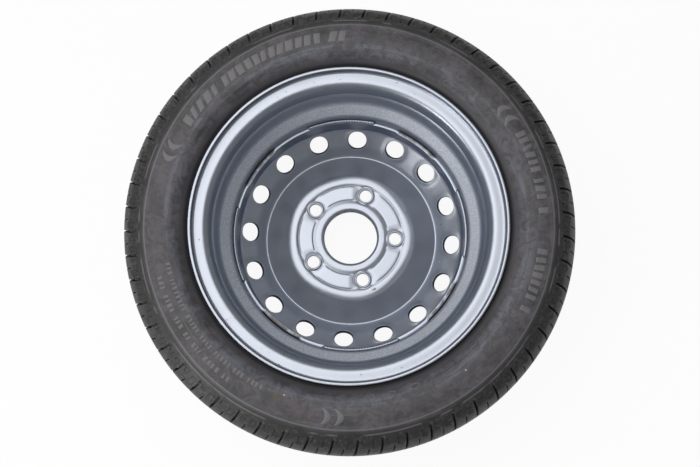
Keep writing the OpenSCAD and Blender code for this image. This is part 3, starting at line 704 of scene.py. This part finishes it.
class Nodes:
    """Small helper that adds and joins shader nodes of one material."""

    def __init__(self, name):
        self.material = bpy.data.materials.new(name)
        self.material.use_nodes = True
        self.tree = self.material.node_tree
        self.shader = self.tree.nodes["Principled BSDF"]
        self.where = self.add("ShaderNodeTexCoord").outputs["Object"]

    def add(self, kind, **sockets):
        node = self.tree.nodes.new(kind)
        for name, value in sockets.items():
            self.put(node.inputs[name.replace("_", " ")], value)
        return node

    def put(self, socket, value):
        if isinstance(value, bpy.types.NodeSocket):
            self.tree.links.new(value, socket)
        else:
            socket.default_value = value

    def noise(self, scale, detail=3.0, rough=0.5, vector=None, distortion=0.0):
        n = self.add("ShaderNodeTexNoise")
        self.put(n.inputs["Vector"], vector or self.where)
        n.inputs["Scale"].default_value = scale
        n.inputs["Detail"].default_value = detail
        n.inputs["Roughness"].default_value = rough
        n.inputs["Distortion"].default_value = distortion
        return n.outputs["Fac"]

    def math(self, how, a, b=0.0, clamp=False):
        n = self.add("ShaderNodeMath")
        n.operation = how
        n.use_clamp = clamp
        for socket, value in zip(n.inputs, (a, b)):
            self.put(socket, value)
        return n.outputs[0]

    def times(self, a, b):
        """a times b."""
        return self.math("MULTIPLY", a, b)

    def most(self, a, b):
        """The larger of a and b."""
        return self.math("MAXIMUM", a, b)

    def zone(self, value, rise, fall):
        """1 between the two edges: a rise from the first to the second number of rise, and a
        fall between those of fall."""
        return self.times(self.ramp(value, *rise), self.ramp(value, *fall))

    def ramp(self, value, lo, hi, to_lo=0.0, to_hi=1.0):
        """The smooth rise from to_lo to to_hi as value goes from lo to hi."""
        n = self.add("ShaderNodeMapRange")
        n.interpolation_type = "SMOOTHSTEP"
        for name, v in (("Value", value), ("From Min", lo), ("From Max", hi),
                        ("To Min", to_lo), ("To Max", to_hi)):
            self.put(n.inputs[name], v)
        return n.outputs[0]

    def mix(self, share, a, b):
        n = self.add("ShaderNodeMix")
        n.data_type = "RGBA"
        for name, v in (("Factor", share), ("A", a), ("B", b)):
            self.put(next(k for k in n.inputs if k.name == name and k.enabled), v)
        return next(k for k in n.outputs if k.type == "RGBA")

    def split(self):
        """X, Y and Z of the object's own coordinates, with the radius and angle about Z."""
        n = self.add("ShaderNodeSeparateXYZ")
        self.put(n.inputs[0], self.where)
        x, y, z = n.outputs
        radius = self.math("SQRT", self.math("ADD", self.times(x, x), self.times(y, y)))
        angle = self.math("ARCTAN2", y, x)
        return x, y, z, radius, angle

    def spot(self, x, y, z, size, where):
        """1 inside a blot of the given size in metres round a point, 0 outside, with where
        as the coordinates that it reads."""
        n = self.add("ShaderNodeVectorMath")
        n.operation = "DISTANCE"
        self.put(n.inputs[0], where)
        n.inputs[1].default_value = (x, y, z)
        return self.ramp(n.outputs["Value"], size * 0.55, size, 1.0, 0.0)

    def wobbled(self, scale, detail, reach):
        """The object's coordinates moved by a noise's colour times reach in metres."""
        cells = self.add("ShaderNodeTexNoise", Vector=self.where, Scale=scale, Detail=detail)
        drift = self.add("ShaderNodeVectorMath")
        drift.operation = "MULTIPLY_ADD"
        self.put(drift.inputs[0], cells.outputs["Color"])
        drift.inputs[1].default_value = reach
        self.put(drift.inputs[2], self.where)
        return drift.outputs["Vector"]

    def bump(self, height, distance, strength):
        n = self.add("ShaderNodeBump")
        self.put(n.inputs["Height"], height)
        n.inputs["Distance"].default_value = distance
        n.inputs["Strength"].default_value = strength
        self.tree.links.new(n.outputs[0], self.shader.inputs["Normal"])

    def finish(self, **sockets):
        for name, value in sockets.items():
            self.put(self.shader.inputs[name.replace("_", " ")], value)
        return self.material


def rgba(c):
    """A colour's three parts with an opacity of 1."""
    return (c[0], c[1], c[2], 1.0)


# Marks on the paint: radius, angle in degrees, height and size in millimetres
DARK_SPECKS = [
    (170.5, 118.7, 79.2, 0.7), (171.9, 114.9, 79.2, 0.8), (171.6, 103.3, 79.2, 0.7),
    (170.8, 93.1, 79.2, 0.6), (171.7, 122.4, 79.2, 0.5), (171.1, 146.6, 79.2, 0.6),
    (170.7, 185.9, 79.2, 0.8), (176.1, 244.0, 79.6, 0.7), (170.3, 238.8, 79.2, 0.6),
    (170.4, 235.4, 79.2, 0.6), (172.5, 290.3, 79.2, 0.8), (166.9, 277.5, 78.6, 0.7),
    (170.3, 274.9, 79.2, 0.8), (175.7, 71.0, 79.4, 0.7), (170.9, 63.1, 79.2, 0.6),
    (171.8, 39.2, 79.2, 0.6), (155.0, 136.5, 30.7, 0.7), (156.5, 131.2, 39.7, 0.6),
    (156.6, 145.6, 40.2, 0.6), (137.0, 109.5, -5.1, 0.9), (116.0, 9.3, -47.0, 0.8),
    (60.1, 87.6, -31.4, 0.8), (77.4, 355.5, -30.8, 0.9), (74.9, 353.5, -30.2, 0.6)]
LIGHT_SPECKS = [
    (158.4, 58.4, 50.1, 0.7), (95.8, 64.8, -44.7, 0.6), (92.6, 57.0, -42.1, 0.7),
    (101.7, 56.4, -49.1, 0.7), (93.7, 61.1, -42.9, 0.5), (90.2, 48.0, -40.2, 0.6),
    (148.7, 188.2, 19.8, 0.8), (139.8, 265.8, -23.5, 0.7), (154.8, 321.8, 29.5, 0.9),
    (153.9, 293.6, 27.2, 0.7), (116.9, 345.4, -46.5, 0.7)]
RUST_SPECKS = [
    (77.9, 24.2, -31.0, 0.9), (162.5, 173.9, 72.6, 0.8), (161.6, 80.1, 63.0, 0.8),
    (166.4, 289.3, 78.1, 0.8), (71.7, 295.2, -30.0, 1.6), (71.7, 293.0, -30.0, 1.1),
    (76.0, 288.0, -30.4, 0.9), (70.6, 221.2, -30.0, 0.7), (176.1, 244.6, 79.6, 0.6)]

# Marks on the rubber, in the same order
DIRT_SPOTS = [(203.2, 249.0, 99.2, 5.0), (209.6, 255.0, 100.0, 4.0), (217.0, 258.5, 100.0, 3.0),
              (221.3, 260.7, 99.8, 3.0)]
SAND_GRAINS = [(203.9, 250.1, 99.5, 0.9), (208.9, 307.9, 100.0, 1.0)]

# Zones of the paint and the rubber, in metres of radius (height for the steps): the pair of
# numbers between which each rises, and the pair between which it falls
WELL_SLOPE = (0.1435, 0.1465), (0.1565, 0.1545)
BOWL_WALL = (0.0775, 0.083), (0.1085, 0.1055)
# BOWL_FOOT_SHADE is a ring of painted shade at the bowl's foot, round the valley
BOWL_FOOT_SHADE = (0.1085, 0.1115), (0.1235, 0.1165)
STEP_HEIGHT = (-0.018, -0.013), (0.0035, 0.0015)
SIDEWALL = (0.186, 0.1935), (0.236, 0.229)
# SHEEN_RING is the ring of the sidewall that holds a painted blue-grey sheen
SHEEN_RING = (0.1905, 0.197), (0.211, 0.2045)
RIB_LEDGE = (0.2283, 0.2292), (0.2312, 0.2300)
OUTER_RIB = (0.2346, 0.2352), (0.2372, 0.2362)


def specks(n, places, where):
    """1 inside any of the blots at the given places, 0 outside."""
    total = 0.0
    for r, a, z, size in places:
        x, y = r * math.cos(math.radians(a)) * MM, r * math.sin(math.radians(a)) * MM
        total = n.most(total, n.spot(x, y, z * MM, 1.25 * size * MM, where))
    return total


def wheel_paint(f):
    """Silver paint: clouds and fine grain, a rougher and lighter strip on the well's slope,
    painted shade in a ring at the bowl's foot and on the vents' walls, rust in the flange's
    steps, along the rim's weld and at the bore, and small specks."""
    n = Nodes("silver_wheel_paint")
    _, _, z, radius, angle = n.split()
    fine = n.noise(1500.0, 2.0, 0.6)
    grit = n.noise(620.0, 2.0, 0.6)
    cloud = n.noise(22.0, 4.0, 0.6)
    patch = n.noise(120.0, 3.0, 0.6)
    shade = n.mix(n.ramp(cloud, 0.3, 0.7), rgba(f.paint_dark), rgba(f.paint))
    shade = n.mix(n.times(n.ramp(fine, 0.35, 0.7), f.grain), shade, rgba(f.paint_light))
    shade = n.mix(n.ramp(grit, 0.42, 0.62, 0.0, 0.3), shade, rgba(f.paint_dark))
    slope = n.zone(radius, *WELL_SLOPE)
    slope = n.times(slope, n.ramp(z, 0.008, 0.014))
    speckle = n.times(slope, n.ramp(grit, 0.32, 0.68, 0.3, 1.0))
    shade = n.mix(speckle, shade, rgba(f.paint_light))
    wall = n.zone(radius, *BOWL_WALL)
    # Painted shade: the paint turns darker in a ring at the bowl's foot, round the valley
    low = n.zone(radius, *BOWL_FOOT_SHADE)
    shade = n.mix(n.times(low, 0.45), shade, (0.20, 0.22, 0.25, 1.0))
    mark = n.add("ShaderNodeAttribute")
    mark.attribute_name = "vent_wall_shade"
    vent_wall_shade = mark.outputs["Fac"]
    # Painted shade: the vents' walls are darkened nearly to black
    shade = n.mix(n.times(vent_wall_shade, 0.75), shade, (0.06, 0.065, 0.075, 1.0))
    # Rust: in the four steps, at the strip's weld and on the bore's edge
    quarter = n.math("COSINE", n.times(n.math("SUBTRACT", angle, math.radians(53.2)), 4.0))
    step = n.times(n.ramp(quarter, 0.66, 0.74), n.ramp(radius, 0.1378, 0.1386))
    step = n.times(step, n.zone(z, *STEP_HEIGHT))
    step = n.times(step, n.ramp(patch, 0.35, 0.6, 0.15, 0.75))
    seam = n.math("ABSOLUTE", n.math("ADD", angle, math.radians(360 - 218.7)))
    line = n.math("ADD", seam, n.times(n.math("SUBTRACT", patch, 0.5), 0.012))
    on_line = n.times(n.ramp(line, 0.0068, 0.0035), n.ramp(n.noise(300.0, 3.0, 0.7), 0.5, 0.62))
    on_line = n.times(on_line, n.ramp(radius, 0.1402, 0.1420))
    bore = n.times(n.ramp(radius, 0.0340, 0.0334), n.ramp(patch, 0.42, 0.6, 0.15, 0.8))
    wobble = n.wobbled(900.0, 2.0, (0.0009, 0.0009, 0.0009))
    rust = n.most(specks(n, RUST_SPECKS, wobble), n.times(on_line, 0.75))
    dark = specks(n, DARK_SPECKS, wobble)
    shade = n.mix(n.times(rust, 0.8), shade, rgba(f.rust))
    shade = n.mix(n.most(step, bore), shade, rgba(f.rust_dark))
    shade = n.mix(n.times(dark, 0.85), shade, (0.03, 0.03, 0.035, 1.0))
    shade = n.mix(specks(n, LIGHT_SPECKS, wobble), shade, (0.75, 0.78, 0.82, 1.0))
    n.bump(n.math("ADD", n.noise(420.0, 3.0, 0.55), n.times(slope, grit)), 0.00006, 0.5)
    worn = n.most(n.most(rust, dark), n.most(step, bore))
    rough = n.ramp(cloud, 0.3, 0.75, f.paint_roughness - 0.03, f.paint_roughness + 0.04)
    rough = n.math("ADD", rough, n.times(n.most(n.most(slope, wall), worn), 0.22))
    dull = n.most(n.times(worn, 0.9), n.times(slope, 0.5))
    metal = n.math("SUBTRACT", f.paint_metallic, dull, clamp=True)
    return n.finish(Base_Color=shade, Metallic=metal, Roughness=rough,
                    Specular_Tint=(0.5, 0.55, 0.6, 1.0))


def tyre_rubber(f):
    """Black rubber, with dust and a painted blue-grey sheen that change with the radius."""
    n = Nodes("tyre_rubber")
    x, y, _, radius, _ = n.split()
    across = n.add("ShaderNodeCombineXYZ")
    n.put(across.inputs[0], n.math("DIVIDE", x, radius))
    n.put(across.inputs[1], n.math("DIVIDE", y, radius))
    n.put(across.inputs[2], n.times(radius, 60.0))
    streak = n.noise(2.6, 4.0, 0.6, across.outputs[0])
    cloud = n.noise(30.0, 5.0, 0.62)
    fine = n.noise(900.0, 2.0, 0.6)
    side = n.zone(radius, *SIDEWALL)
    dust = n.ramp(n.math("ADD", cloud, n.times(fine, 0.35)), 0.48, 0.82, 0.3, 1.0)
    bead = n.mix(n.ramp(radius, 0.192, 0.186), rgba(f.rubber), (0.048, 0.046, 0.051, 1.0))
    base = n.mix(n.times(dust, side), bead, rgba(f.rubber_dust))
    # Painted sheen: blue-grey streaks in a ring of the sidewall, about 190 to 211 mm out
    ring = n.zone(radius, *SHEEN_RING)
    sheen = n.times(ring, n.ramp(streak, 0.42, 0.60, 0.05, 0.95))
    base = n.mix(sheen, base, rgba(f.painted_sheen))
    tread = n.times(n.ramp(radius, 0.2335, 0.2375), n.ramp(n.noise(210.0, 4.0, 0.7), 0.48, 0.68))
    base = n.mix(n.times(tread, 0.75), base, (0.072, 0.068, 0.060, 1.0))
    smear = n.times(side, n.ramp(n.noise(75.0, 5.0, 0.7, distortion=1.2), 0.42, 0.62, 0.0, 0.55))
    base = n.mix(smear, base, rgba(f.rubber))
    # Streaks in the painted sheen's blue-grey over the whole sidewall
    sheen_streaks = n.times(n.ramp(streak, 0.6, 0.72), n.times(side, 0.55))
    base = n.mix(sheen_streaks, base, rgba(f.painted_sheen))
    ledge = n.zone(radius, *RIB_LEDGE)
    base = n.mix(n.times(ledge, 0.8), base, (0.15, 0.147, 0.152, 1.0))
    dashes = n.zone(radius, *OUTER_RIB)
    dashes = n.times(dashes, n.ramp(n.noise(28.0, 2.0, 0.6), 0.45, 0.55))
    base = n.mix(n.times(dashes, 0.8), base, (0.13, 0.128, 0.13, 1.0))
    dirt = specks(n, DIRT_SPOTS, n.wobbled(160.0, 4.0, (0.009, 0.009, 0.0)))
    base = n.mix(n.times(dirt, 0.5), base, (0.10, 0.07, 0.045, 1.0))
    base = n.mix(specks(n, SAND_GRAINS, n.where), base, (0.5, 0.46, 0.34, 1.0))
    n.bump(n.math("ADD", fine, n.math("ADD", n.times(cloud, 1.5), streak)), 0.0004, 0.4)
    rough = n.ramp(cloud, 0.25, 0.75, 0.44, 0.6)
    return n.finish(Base_Color=base, Roughness=rough)


def plain_finish(name, colour, metallic, roughness):
    """One colour that dulls by a fifth in clouds, with a fine grain."""
    n = Nodes(name)
    cloud = n.noise(60.0, 3.0, 0.6)
    dark = tuple(0.8 * c for c in colour)
    shade = n.mix(n.ramp(cloud, 0.3, 0.7), rgba(dark), rgba(colour))
    n.bump(n.noise(600.0, 2.0, 0.5), 0.00005, 0.4)
    return n.finish(Base_Color=shade, Metallic=metallic,
                    Roughness=n.ramp(cloud, 0.3, 0.7, roughness * 0.85, roughness * 1.15))


def finish_of(name, maker, *args):
    """The named material, made the first time it is asked for."""
    return bpy.data.materials.get(name) or maker(*args)


# Settings

class WheelShape(bpy.types.PropertyGroup):
    bolt_phase: bpy.props.FloatProperty(
        name="First bolt hole", description="Angle of the first bolt hole, in degrees",
        default=-2.2)
    bolt_radius: bpy.props.FloatProperty(
        name="Bolt circle radius", description="Radius of the bolt circle, in millimetres",
        default=56.0)
    vent_phase: bpy.props.FloatProperty(
        name="First vent", description="Angle of the first vent hole, in degrees",
        default=-3.9)
    vent_radius: bpy.props.FloatProperty(
        name="Vent circle radius", description="Radius of the vent circle, in millimetres",
        default=128.4)
    vent_size: bpy.props.FloatProperty(
        name="Vent diameter", description="Diameter of a vent hole, in millimetres",
        default=24.6, min=20.0, max=26.0)
    vent_lift: bpy.props.FloatProperty(
        name="Vent edge", description="Height of the raised edge round a vent, in millimetres",
        default=1.2)
    swell: bpy.props.FloatProperty(
        name="Ridge swell",
        description="Swell of the outer ridge at the bolt holes, in millimetres",
        default=1.3)
    step_phase: bpy.props.FloatProperty(
        name="First flange step",
        description="Angle of the first step of the disc's flange, in degrees",
        default=53.2)
    step_in: bpy.props.FloatProperty(
        name="Flange step", description="Depth of a flange step, in millimetres",
        default=1.4)
    pad_rise: bpy.props.FloatProperty(
        name="Pad height", description="Height of the pads above the trough, in millimetres",
        default=0.9)
    lip_rise: bpy.props.FloatProperty(
        name="Bolt hole lip", description="Height of the lip round a bolt hole, in millimetres",
        default=1.3)
    seam_angle: bpy.props.FloatProperty(
        name="Rim weld", description="Angle of the rim's butt weld, in degrees",
        default=218.5)


class WheelFinish(bpy.types.PropertyGroup):
    paint: bpy.props.FloatVectorProperty(
        name="Paint", description="Colour of the wheel's paint",
        subtype="COLOR", default=(0.425, 0.447, 0.505), min=0, max=1)
    paint_dark: bpy.props.FloatVectorProperty(
        name="Dull paint", description="Colour of the paint where it is dull",
        subtype="COLOR", default=(0.385, 0.41, 0.46), min=0, max=1)
    paint_light: bpy.props.FloatVectorProperty(
        name="Paint flakes", description="Colour of the paint's bright grain",
        subtype="COLOR", default=(0.70, 0.73, 0.80), min=0, max=1)
    paint_metallic: bpy.props.FloatProperty(
        name="Paint metallic", description="How metallic the paint is",
        default=1.0, min=0, max=1)
    paint_roughness: bpy.props.FloatProperty(
        name="Paint roughness", description="Roughness of the paint",
        default=0.38, min=0, max=1)
    grain: bpy.props.FloatProperty(
        name="Paint grain", description="Share of bright grain in the paint",
        default=0.08, min=0, max=1)
    rust: bpy.props.FloatVectorProperty(
        name="Fresh rust", description="Colour of thin rust",
        subtype="COLOR", default=(0.36, 0.19, 0.09), min=0, max=1)
    rust_dark: bpy.props.FloatVectorProperty(
        name="Old rust", description="Colour of rust in the gaps",
        subtype="COLOR", default=(0.13, 0.10, 0.085), min=0, max=1)
    rubber: bpy.props.FloatVectorProperty(
        name="Rubber", description="Colour of the tyre's rubber",
        subtype="COLOR", default=(0.021, 0.021, 0.0215), min=0, max=1)
    rubber_dust: bpy.props.FloatVectorProperty(
        name="Dusty rubber", description="Colour of the rubber where dust lies on it",
        subtype="COLOR", default=(0.097, 0.088, 0.098), min=0, max=1)
    # Blue-grey of the painted sheen on the sidewall
    painted_sheen: bpy.props.FloatVectorProperty(
        name="Sheen", description="Colour of the blue-grey bloom near the bead",
        subtype="COLOR", default=(0.118, 0.124, 0.146), min=0, max=1)


class WheelStage(bpy.types.PropertyGroup):
    floor: bpy.props.FloatVectorProperty(
        name="Floor", description="Colour of the floor",
        subtype="COLOR", default=(0.9, 0.9, 0.9), min=0, max=1)
    world: bpy.props.FloatProperty(
        name="Surroundings", description="Strength of the surroundings' light",
        default=0.27, min=0)
    under_level: bpy.props.FloatProperty(
        name="Floor under the wheel",
        description="How light the floor under the wheel is in the paint's reflections",
        default=0.38, min=0, max=1)
    overhead: bpy.props.FloatProperty(
        name="Overhead light", description="Power of the light overhead",
        subtype="POWER", default=28.0, min=0)
    key: bpy.props.FloatProperty(
        name="Low light", description="Power of the low light at the lower left",
        subtype="POWER", default=8.0, min=0)


def shape():
    """The scene's sizes that a user can change."""
    return bpy.context.scene.wheel_shape


def colours():
    """The scene's finishes that a user can change."""
    return bpy.context.scene.wheel_finish


def paint():
    """The wheel's paint, which rim, disc and weld beads share."""
    return finish_of("silver_wheel_paint", wheel_paint, colours())


# Operators

class WHEEL_OT_rim(bpy.types.Operator):
    """Makes the rim's rolled strip"""
    bl_idname = "wheel.make_rim"
    bl_label = "Rim"

    def execute(self, context):
        dress(rim_mesh(shape()), RIM_BODY, "wheel_paint", paint(), "rim")
        return {"FINISHED"}


class WHEEL_OT_disc(bpy.types.Operator):
    """Makes the pressed disc with its bolt holes, pads and vents"""
    bl_idname = "wheel.make_disc"
    bl_label = "Disc"

    def execute(self, context):
        dress(disc_mesh(shape()), RIM_BODY, "wheel_paint", paint(), "wheel_disc")
        return {"FINISHED"}


class WHEEL_OT_welds(bpy.types.Operator):
    """Makes the weld beads between disc and rim"""
    bl_idname = "wheel.make_welds"
    bl_label = "Weld beads"

    def execute(self, context):
        dress(weld_mesh(), RIM_BODY, "weld", paint(), "disc_welds")
        return {"FINISHED"}


class WHEEL_OT_tyre(bpy.types.Operator):
    """Makes the tyre's casing with its tread"""
    bl_idname = "wheel.make_tyre"
    bl_label = "Tyre"

    def execute(self, context):
        rubber = finish_of("tyre_rubber", tyre_rubber, colours())
        dress(tyre_mesh(), RIM_BODY, "tyre", rubber, "tyre")
        return {"FINISHED"}


class WHEEL_OT_marks(bpy.types.Operator):
    """Makes the plain raised bars on the sidewall"""
    bl_idname = "wheel.make_marks"
    bl_label = "Sidewall bars"

    def execute(self, context):
        name, colour = "raised_rubber", (0.155, 0.150, 0.152)
        rubber = finish_of(name, plain_finish, name, colour, 0.0, 0.5)
        dress(marks_mesh(), RIM_BODY, "tyre", rubber)
        return {"FINISHED"}


# The valve's finishes: colour, metallic, roughness and the pieces that have it
VALVE_FINISHES = (
    ("nickel_plate", (0.62, 0.61, 0.58), 1.0, 0.25, ("valve_stem", "valve_nut", "valve_cap")),
    ("zinc_plate", (0.55, 0.56, 0.58), 1.0, 0.38, ("valve_washer",)),
    ("turned_brass", (0.60, 0.45, 0.20), 1.0, 0.3, ("valve_core", "valve_core_pin")),
    ("spring_wire", (0.45, 0.45, 0.47), 1.0, 0.35, ("valve_core_spring",)),
    ("seal_rubber", (0.02, 0.02, 0.022), 0.0, 0.6,
     ("valve_core_seal", "valve_cap_seal", "valve_grommet")))


class WHEEL_OT_valve(bpy.types.Operator):
    """Finishes the valve's pieces"""
    bl_idname = "wheel.finish_valve"
    bl_label = "Valve"

    def execute(self, context):
        for name, colour, metallic, roughness, pieces in VALVE_FINISHES:
            finish = finish_of(name, plain_finish, name, colour, metallic, roughness)
            for piece in pieces:
                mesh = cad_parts[piece].data
                mesh.materials.clear()
                mesh.materials.append(finish)
        return {"FINISHED"}


def lamp(name, size, energy, place):
    """A round soft light at a place in metres, turned towards the wheel's middle."""
    data = bpy.data.lights.new(name, "AREA")
    data.shape = "DISK"
    data.size = size
    data.energy = energy
    thing = bpy.data.objects.new(name, data)
    bpy.context.scene.collection.objects.link(thing)
    back = unit(np.array(place))
    side = unit(np.cross((0.0, 1.0, 0.0) if abs(back[2]) > 0.9 else (0.0, 0.0, 1.0), back))
    up = np.cross(back, side)
    thing.matrix_world = Matrix(
        [[side[k], up[k], back[k], place[k]] for k in range(3)] + [[0, 0, 0, 1]])


# Camera found from the photograph's circles: focal length in pixels of its frame, tilts in
# degrees about X and Y, and place in metres
PHOTO_WIDTH, FOCAL_PIXELS, FILM_WIDTH = 700, 922.5, 36.0
CAMERA_TILT, CAMERA_LEAN = -8.30, -1.27
CAMERA_PLACE = (0.0248, -0.1628, 1.1166)

# Floor's height, half its side and the radius of the wheel's print on it, in metres
FLOOR_HEIGHT, FLOOR_REACH, WHEEL_PRINT = -0.1008, 6.0, 0.262


class WHEEL_OT_stage(bpy.types.Operator):
    """Makes the floor, the lights and the camera"""
    bl_idname = "wheel.make_stage"
    bl_label = "Stage"

    def execute(self, context):
        scene = context.scene
        s = scene.wheel_stage
        skin = Skin()
        side = np.array([-FLOOR_REACH, FLOOR_REACH])
        corners = np.broadcast_arrays(side[:, None], side[None, :], FLOOR_HEIGHT)
        skin.grid(np.stack(corners, axis=-1))
        floor = skin.build("floor", weld=None)
        n = Nodes("pale_floor")
        light = n.add("ShaderNodeLightPath")
        radius = n.split()[3]
        beside = n.math("GREATER_THAN", radius, WHEEL_PRINT)
        glossy = n.most(light.outputs["Is Glossy Ray"], light.outputs["Is Transmission Ray"])
        # Glossy rays see the floor white beside the wheel and at under_level under it, a painted
        # shadow of the wheel
        level = n.most(beside, s.under_level)
        seen = n.most(light.outputs["Is Camera Ray"], n.times(glossy, level))
        glow = n.add("ShaderNodeEmission", Color=(1, 1, 1, 1), Strength=1.0)
        mixed = n.add("ShaderNodeMixShader")
        n.put(mixed.inputs[0], n.times(seen, 0.93))
        n.put(mixed.inputs[1], n.shader.outputs[0])
        n.put(mixed.inputs[2], glow.outputs[0])
        out = next(k for k in n.tree.nodes if k.type == "OUTPUT_MATERIAL")
        n.put(out.inputs["Surface"], mixed.outputs[0])
        floor.data.materials.append(n.finish(Base_Color=rgba(s.floor), Roughness=0.9))
        world = bpy.data.worlds.new("soft_room")
        scene.world = world
        world.use_nodes = True
        nodes, links = world.node_tree.nodes, world.node_tree.links
        seen = nodes.new("ShaderNodeLightPath").outputs["Is Camera Ray"]
        level = nodes.new("ShaderNodeMapRange")
        links.new(seen, level.inputs["Value"])
        level.inputs["To Min"].default_value = s.world
        links.new(level.outputs[0], nodes["Background"].inputs["Strength"])
        nodes["Background"].inputs["Color"].default_value = (1.0, 1.0, 1.0, 1.0)
        lamp("overhead_softbox", 2.4, s.overhead, (-0.55, 0.3, 1.8))
        lamp("low_light", 0.65, s.key, (-1.25, -1.05, 0.62))
        data = bpy.data.cameras.new("camera")
        data.sensor_width = FILM_WIDTH
        data.lens = FOCAL_PIXELS / PHOTO_WIDTH * FILM_WIDTH
        camera = bpy.data.objects.new("camera", data)
        scene.collection.objects.link(camera)
        ca, cb = (math.cos(math.radians(v)) for v in (CAMERA_TILT, CAMERA_LEAN))
        sa, sb = (math.sin(math.radians(v)) for v in (CAMERA_TILT, CAMERA_LEAN))
        about_x = np.array([[1, 0, 0], [0, ca, -sa], [0, sa, ca]])
        about_y = np.array([[cb, 0, sb], [0, 1, 0], [-sb, 0, cb]])
        turn = (about_x @ about_y).T
        camera.matrix_world = Matrix(
            [[*turn[k], CAMERA_PLACE[k]] for k in range(3)] + [[0, 0, 0, 1]])
        scene.camera = camera
        scene.view_settings.view_transform = "Standard"
        return {"FINISHED"}


class WHEEL_PT_panel(bpy.types.Panel):
    bl_label = "Wheel"
    bl_idname = "WHEEL_PT_panel"
    bl_space_type = "VIEW_3D"
    bl_region_type = "UI"
    bl_category = "Wheel"

    def draw(self, context):
        for maker in MAKERS:
            self.layout.operator(maker.bl_idname)
        for group in ("wheel_shape", "wheel_finish", "wheel_stage"):
            box = self.layout.box()
            for name in getattr(context.scene, group).bl_rna.properties.keys():
                if name not in ("rna_type", "name"):
                    box.prop(getattr(context.scene, group), name)


MAKERS = (WHEEL_OT_rim, WHEEL_OT_disc, WHEEL_OT_welds, WHEEL_OT_tyre, WHEEL_OT_marks,
          WHEEL_OT_valve, WHEEL_OT_stage)
CLASSES = (WheelShape, WheelFinish, WheelStage) + MAKERS + (WHEEL_PT_panel,)


def register():
    """Adds the classes and the three groups of settings."""
    for kind in CLASSES:
        bpy.utils.register_class(kind)
    bpy.types.Scene.wheel_shape = bpy.props.PointerProperty(type=WheelShape)
    bpy.types.Scene.wheel_finish = bpy.props.PointerProperty(type=WheelFinish)
    bpy.types.Scene.wheel_stage = bpy.props.PointerProperty(type=WheelStage)


def unregister():
    """Takes the settings and the classes out again."""
    del bpy.types.Scene.wheel_shape, bpy.types.Scene.wheel_finish, bpy.types.Scene.wheel_stage
    for kind in reversed(CLASSES):
        bpy.utils.unregister_class(kind)


def main():
    """Registers the add-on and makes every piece."""
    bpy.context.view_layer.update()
    register()
    for maker in MAKERS:
        group, name = maker.bl_idname.split(".")
        getattr(getattr(bpy.ops, group), name)()


if __name__ == "__main__":
    main()
